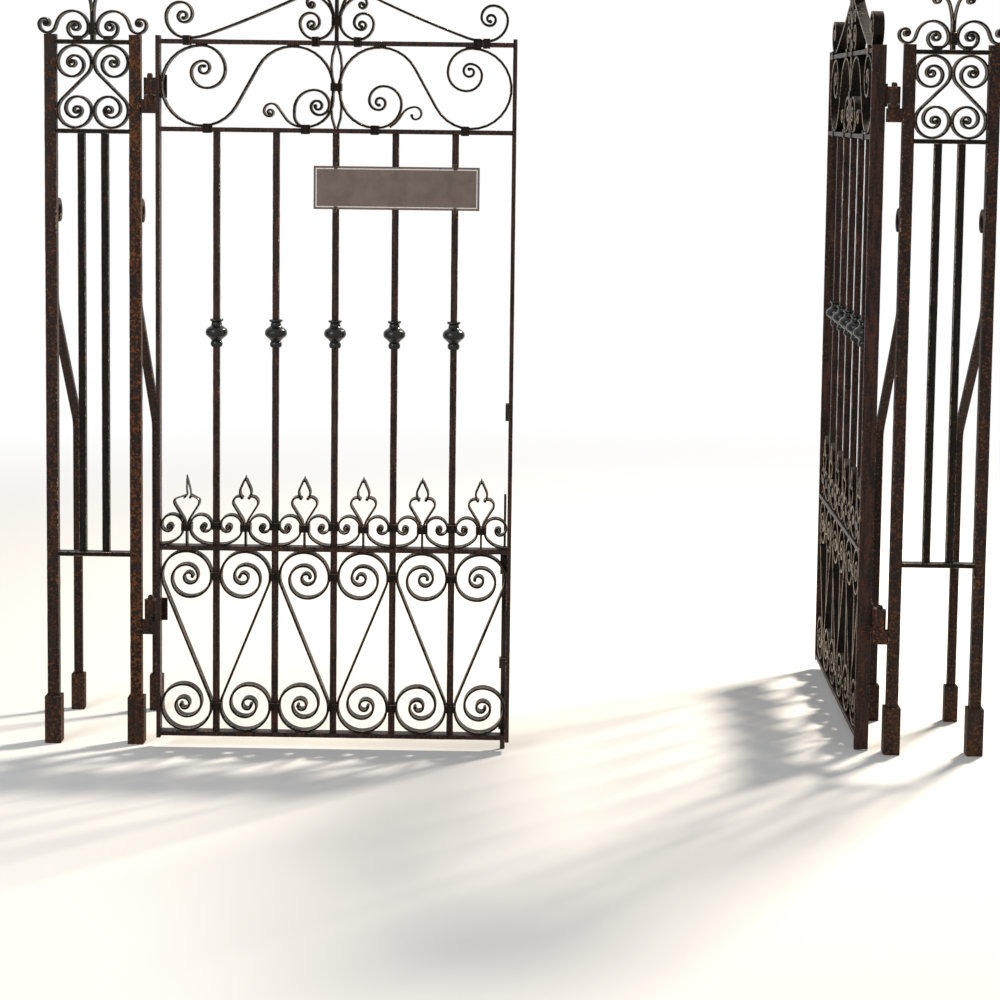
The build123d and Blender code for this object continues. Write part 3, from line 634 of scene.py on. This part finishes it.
# Knops: cast iron bulbs threaded on the bars, with a flared lip above and a thick collar below, still
# in heavy black paint that shines.
knop_sizes = {"Radius": "Float", "Height": "Float", "Around": "Int", "Rings": "Int", "Dent": "Float"}
cast_knop, given = new_tree("cast_knop", knop_sizes)
drum_size = {"Vertices": given["Around"], "Side Segments": given["Rings"]}
drum_size |= {"Radius": given["Radius"], "Depth": given["Height"]}
drum = given["Height"].node("GeometryNodeMeshCylinder", {"fill_type": "NGON"}, drum_size)
place = drum.node("ShaderNodeSeparateXYZ", {}, {0: drum.node("GeometryNodeInputPosition")})
profile = [
    (0.00, 0.42, "VECTOR"),
    (0.03, 0.50, "VECTOR"),
    (0.10, 0.54, "AUTO"),
    (0.17, 0.52, "AUTO"),
    (0.22, 0.43, "VECTOR"),
    (0.30, 0.60, "AUTO"),
    (0.38, 0.83, "AUTO"),
    (0.45, 0.97, "AUTO"),
    (0.52, 1.00, "AUTO"),
    (0.60, 0.96, "AUTO"),
    (0.68, 0.80, "AUTO"),
    (0.74, 0.58, "AUTO"),
    (0.78, 0.48, "VECTOR"),
    (0.84, 0.49, "VECTOR"),
    (0.885, 0.41, "VECTOR"),
    (0.93, 0.57, "AUTO"),
    (0.965, 0.63, "VECTOR"),
    (1.00, 0.57, "VECTOR"),
]
height_share = place.beside("Z") / given["Height"] + 0.5
swell = place.node("ShaderNodeFloatCurve", {"curve": profile}, {"Value": height_share})
turned_at = {"X": place * swell, "Y": place.beside("Y") * swell, "Z": place.beside("Z")}
turned_at = swell.node("ShaderNodeCombineXYZ", {}, turned_at)
drum = drum.node("GeometryNodeSetPosition", {}, {"Geometry": drum, "Position": turned_at})
knops = set_out(drum, given)
end_tree(dented(knops, knops.node("GeometryNodeInputPosition"), 60, 0.5, given["Dent"]), given)

knop_paint = weathered_iron(
    "black_knop_paint",
    paint=(0.003, 0.004, 0.004, 1),
    bloom=(0.007, 0.007, 0.006, 1),
    rust=(0.07, 0.028, 0.014, 1),
    rusted=0.10,
    roughness=0.22,
    rubbed=0.5,
    spots=0.7,
    shine=0.3,
)
knop_size = {"Radius": 0.027, "Height": 0.068, "Around": 40, "Rings": 46, "Dent": 0.0006}
knop_level = 1.029
for side, lie in leaves.items():
    node = side + "_knops"
    middles = [(u, 0, knop_level) for u in bar_places]
    stand_for(grow(node + "_iron", cast_knop, middles, knop_size, knop_paint, lie), node)

# The scrollwork: flat strip, bent cold over a scroll former, with wrapped collars that hold it to the
# rails and the bars. Its paint is near black, and the sun picks out the rubbed edges.
scroll_paint = weathered_iron(
    "black_scroll_paint",
    paint=(0.005, 0.0045, 0.004, 1),
    bloom=(0.018, 0.012, 0.008, 1),
    rust=(0.12, 0.045, 0.020, 1),
    rusted=0.16,
    roughness=0.36,
    rubbed=0.75,
    spots=0.8,
    shine=0.06,
)
strips = [*panel_strips, (0.005, 0.025)]
bay_middles = [leaf_width / 2 + bay * (n - 2.5) for n in range(6)]


def crush_finial(piece, stem):
    """Presses the upper leaf of the finial on a stem thin and leans it over, as a knock has done."""
    leaf_foot, leaf_neck = 0.620, 0.012
    pressed, moved, lean_rate = 0.68, 0.007, 0.12
    for vert in piece.data.vertices:
        arm = vert.co - stem
        rise = arm.z - leaf_foot
        if abs(arm.x) < bay / 3 and rise > 0:
            share = min(1, rise / leaf_neck)
            lean = moved * share - lean_rate * rise
            vert.co.x = stem.x + arm.x * (1 - pressed * share) + lean


for side, lie in leaves.items():
    axis = (lie.to_3x3() @ Vector((0, 1, 0))).normalized()
    for part in ("_finials", "_lower_scrolls", "_crest"):
        piece = eased(side + part, scroll_edge, scroll_paint, strips, axis)
        if side + part == "left_finials":
            crush_finial(piece, lie @ Vector((bay_middles[0], 0, 0)))
        stand_for(piece, side + part)

# The frieze of each leaf: two S-scrolls that meet at a collar in the middle, tendrils, and bowed bars
# between them. Each was bent by eye: on the closed leaf the right scroll's inner coil is larger and
# stands further out than the left one.
frieze_low, frieze_level = 1.5268, 1.6260
thin, wide, slight = 0.003, 0.014, 0.0025
ring, climb, half_run = 0.0962, 60.85, 0.05365
slant_place = leaf_width / 2 - 0.21965
outer_bends = [(0.057, 90), (0.045, 90), (0.037, 90), (0.028, 90), (0.016, 120)] + rolled(0.016)
near_coil = [(0.0302, 0), (0.066, 90), (0.027, 90), (0.014, 0), (0.048, 90), (0.036, 90), (0.024, 90)]
near_coil += [(0.020, 90), (0.014, 110)] + rolled(0.014)
far_coil = [(0.0105, 0), (0.0857, 90), (0.006, 0), (0.057, 90), (0.043, 90), (0.0345, 90), (0.0227, 90)]
far_coil += [(0.016, 90)] + rolled(0.016)
near_start, far_start = (0.074, frieze_low + 0.003, 0), (0.1290, frieze_low + 0.0050, 28)
near_tendril = [(0.008, 0), (0.050, 55), (0.032, 0), (0.018, -145), (0.013, -90), (0.009, -90)]
near_tendril += rolled(0.009, -90)
far_tendril = [(0.0625, 30), (0.012, 0), (0.0355, -58), (0.0157, -90), (0.014, -90)]
far_tendril += rolled(0.014, -90, (0.65,))
bow_place, bow_radius, bow_turn = 0.0028, 0.1317, 22.1

collar_sizes = {"Width": "Float", "Depth": "Float", "Height": "Float", "Wall": "Float", "Turn": "Vector"}
wrapped_collar, given = new_tree("wrapped_collar", collar_sizes)
loop = {"Width": given["Depth"], "Height": given["Height"]}
loop = given["Depth"].node("GeometryNodeCurvePrimitiveQuadrilateral", {}, loop)
strap = cut_section(given["Wall"], given["Width"], 0.001)
band = loop.node("GeometryNodeCurveToMesh", {}, {"Curve": loop, "Profile Curve": strap})
end_tree(set_out(band, given, Rotation=given["Turn"]), given)

bead_sizes = {"Long": "Float", "Thick": "Float", "Deep": "Float", "Rough": "Float"}
weld_bead, given = new_tree("weld_bead", bead_sizes)
lump = given["Long"].node("GeometryNodeMeshIcoSphere", {}, {"Radius": 0.5, "Subdivisions": 3}, "Mesh")
lump_size = {"X": given["Long"], "Y": given["Deep"], "Z": given["Thick"]}
beads = set_out(lump, given, Scale=lump.node("ShaderNodeCombineXYZ", {}, lump_size))
end_tree(dented(beads, beads.node("GeometryNodeInputPosition"), 160, 0.6, given["Rough"]), given)


def join_to(piece, parts):
    """The parts become one mesh with the piece."""
    whole = bmesh.new()
    whole.from_mesh(piece.data)
    for part in parts:
        whole.from_mesh(part.data)
        bpy.data.objects.remove(part)
    whole.to_mesh(piece.data)
    whole.free()


def frieze_strip(solid, worn, lie, hand, start, ahead, behind=(), half=thin, snubs=(True, True)):
    """A strip of the frieze, ahead and behind from its start, which is a place out from the leaf's
    middle on one hand, a height and a heading in degrees."""
    out, height, heading = start
    up = Vector((0, 0, 1))
    along = (lie.to_3x3() @ Vector((1, 0, 0))).normalized() * hand
    spot = lie @ Vector((leaf_width / 2, 0, height)) + along * out
    course = along * cos(radians(heading)) + up * sin(radians(heading))
    across = up * cos(radians(heading)) - along * sin(radians(heading))
    front = walk(spot, course, across, ahead)
    back = [(place, -way, -left) for place, way, left in walk(spot, -course, -across, behind)]
    hammer_strip(solid, worn, back[:0:-1] + front, half, wide, scroll_edge, snubs)


rail_collar = {"Width": 0.019, "Depth": 0.0386, "Height": 0.0206, "Wall": 0.003}
rail_collar |= {"Turn": (radians(90), 0, radians(90))}
middle_collar = rail_collar | {"Depth": 0.025, "Height": 0.031, "Turn": (0, 0, 0)}
bead_size = {"Long": 0.030, "Thick": 0.0065, "Deep": 0.026, "Rough": 0.0012}
low_collar_level, top_collar_level = 1.5240, 1.7340
top_bead_level, bay_bead_levels = 1.7250, (0.4953, 0.0438)
for side, lie in leaves.items():
    solid = bmesh.new()
    worn = solid.faces.layers.float.new("worn")
    for hand in (-1, 1):
        far = side == "left" and hand == 1
        coil = [(half_run, 0), (ring, climb + 90)] + (far_coil if far else near_coil)
        outer_coil = [(half_run, 0), (ring, climb + 180)] + outer_bends
        start = (slant_place, frieze_level, 180 - climb)
        frieze_strip(solid, worn, lie, hand, start, coil, outer_coil)
        start, tendril = (far_start, far_tendril) if far else (near_start, near_tendril)
        frieze_strip(solid, worn, lie, hand, start, tendril, (), slight, (False, True))
        for foot in (frieze_low, frieze_level):
            start, bow = (bow_place, foot, 90 - bow_turn), [(bow_radius, 2 * bow_turn)]
            frieze_strip(solid, worn, lie, hand, start, bow, (), slight, (False, False))
    inner_foot = 0.527 if side == "left" else 0.508
    feet = [(u, 0, low_collar_level) for u in (0.1235, 0.360, inner_foot, 0.7445)]
    if side == "left":
        feet.append((0.772, 0, top_collar_level))
    bands = grow(side + "_rail_collars", wrapped_collar, feet, rail_collar, scroll_paint, lie)
    middle = [(leaf_width / 2, 0, frieze_level)]
    knot = grow(side + "_middle_collar", wrapped_collar, middle, middle_collar, scroll_paint, lie)
    tops = [(u, 0, top_bead_level) for u in (0.1095, 0.3298, 0.5382, 0.7585)]
    beads = grow(side + "_top_beads", weld_bead, tops, bead_size, scroll_paint, lie)
    mesh = bpy.data.meshes.new("frieze")
    bmesh.ops.triangulate(solid, faces=[f for f in solid.faces if len(f.verts) > 4])
    solid.to_mesh(mesh)
    solid.free()
    mesh.materials.append(scroll_paint)
    frieze = show(side + "_frieze_scrolls_iron", mesh)
    join_to(frieze, (bands, knot, beads))
    stand_for(frieze, side + "_frieze_scrolls")
    seams = [(u, 0, z) for u in bay_middles for z in bay_bead_levels]
    beads = grow(side + "_low_beads", weld_bead, seams, bead_size, scroll_paint, lie)
    join_to(bpy.data.objects[side + "_lower_scrolls_iron"], (beads,))

# Hinges: a block with an upright pin on the post, a loose washer, and an eye with its arm and strap on
# the leaf. The paint has cracked off with use, so they are orange with rust.
hinge_iron = weathered_iron(
    "orange_hinge_iron",
    paint=old_black,
    bloom=(0.034, 0.018, 0.012, 1),
    rust=(0.20, 0.066, 0.024, 1),
    rusted=0.38,
    roughness=0.46,
    rubbed=0.3,
    spots=0.75,
)
for node in ("hinge_gudgeons", "hinge_washers", "left_hinge_eyes", "right_hinge_eyes"):
    stand_for(eased(node, 0.0008, hinge_iron), node)

# The sign: a thin painted plate, brown-grey with a fine off-white line inside its edge, held to the
# bars by four small bent clips. It bears no words.
sign_low, sign_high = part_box("sign_plate")
sign_paint, here = new_finish("brown_sign_paint")
middle = (sign_low + sign_high) / 2
half = (sign_high - sign_low) / 2
away = here.node("ShaderNodeVectorMath", {"operation": "SUBTRACT"}, {0: here, 1: middle})
away = away.node("ShaderNodeVectorMath", {"operation": "ABSOLUTE"}, {0: away})
away = away.node("ShaderNodeSeparateXYZ", {}, {0: away})
inside = away.sums("MINIMUM", half.x - away, half.z - away.beside("Z"))
facing = here.node("ShaderNodeSeparateXYZ", {}, {0: here.beside("Normal")}, "Y")
front = facing.sums("LESS_THAN", facing, -0.5)
line_start, line_end, line_blur = 0.0048, 0.0071, 0.0005
line = inside.ramp(line_start, line_start + line_blur) * (1 - inside.ramp(line_end, line_end + line_blur))
chalk = line * front * here.noise(260, 3, 0.7).ramp(0.25, 0.42)
rim = 1 - inside.ramp(0.0008, 0.0030)
dirt = here.noise(24, 5, 0.65).ramp(0.35, 0.7)
face = dirt.blend((0.155, 0.115, 0.095, 1), (0.115, 0.085, 0.070, 1))
face = (here.noise(420, 2, 0.6).ramp(0.68, 0.74) * 0.5).blend(face, (0.26, 0.20, 0.16, 1))
face = (rim * 0.75).blend(face, (0.045, 0.033, 0.027, 1))
colour = chalk.blend(face, (0.72, 0.68, 0.62, 1))
relief = here.noise(90, 3, 0.5) + chalk * 0.6
bump = relief.node("ShaderNodeBump", {}, {"Strength": 0.25, "Distance": 0.0005, "Height": relief})
coat = {"Base Color": colour, "Roughness": 0.42 + dirt * 0.2, "Specular IOR Level": 0.35, "Normal": bump}
end_finish(colour.node("ShaderNodeBsdfPrincipled", {}, coat))
stand_for(eased("sign_plate", 0.0006, sign_paint), "sign_plate")

# The drop bolt and its guides, the clips of the sign and the keep of the latch: plain iron, greased
# and handled, so it is worn smooth and brighter than the rest.
worn_iron = weathered_iron(
    "handled_iron",
    paint=(0.022, 0.019, 0.017, 1),
    bloom=(0.050, 0.036, 0.028, 1),
    rust=(0.17, 0.075, 0.036, 1),
    rusted=0.20,
    roughness=0.40,
    rubbed=0.9,
    spots=0.7,
)
for node in ("drop_bolt", "bolt_guides", "sign_ties", "latch_keep"):
    stand_for(eased(node, 0.0005, worn_iron), node)
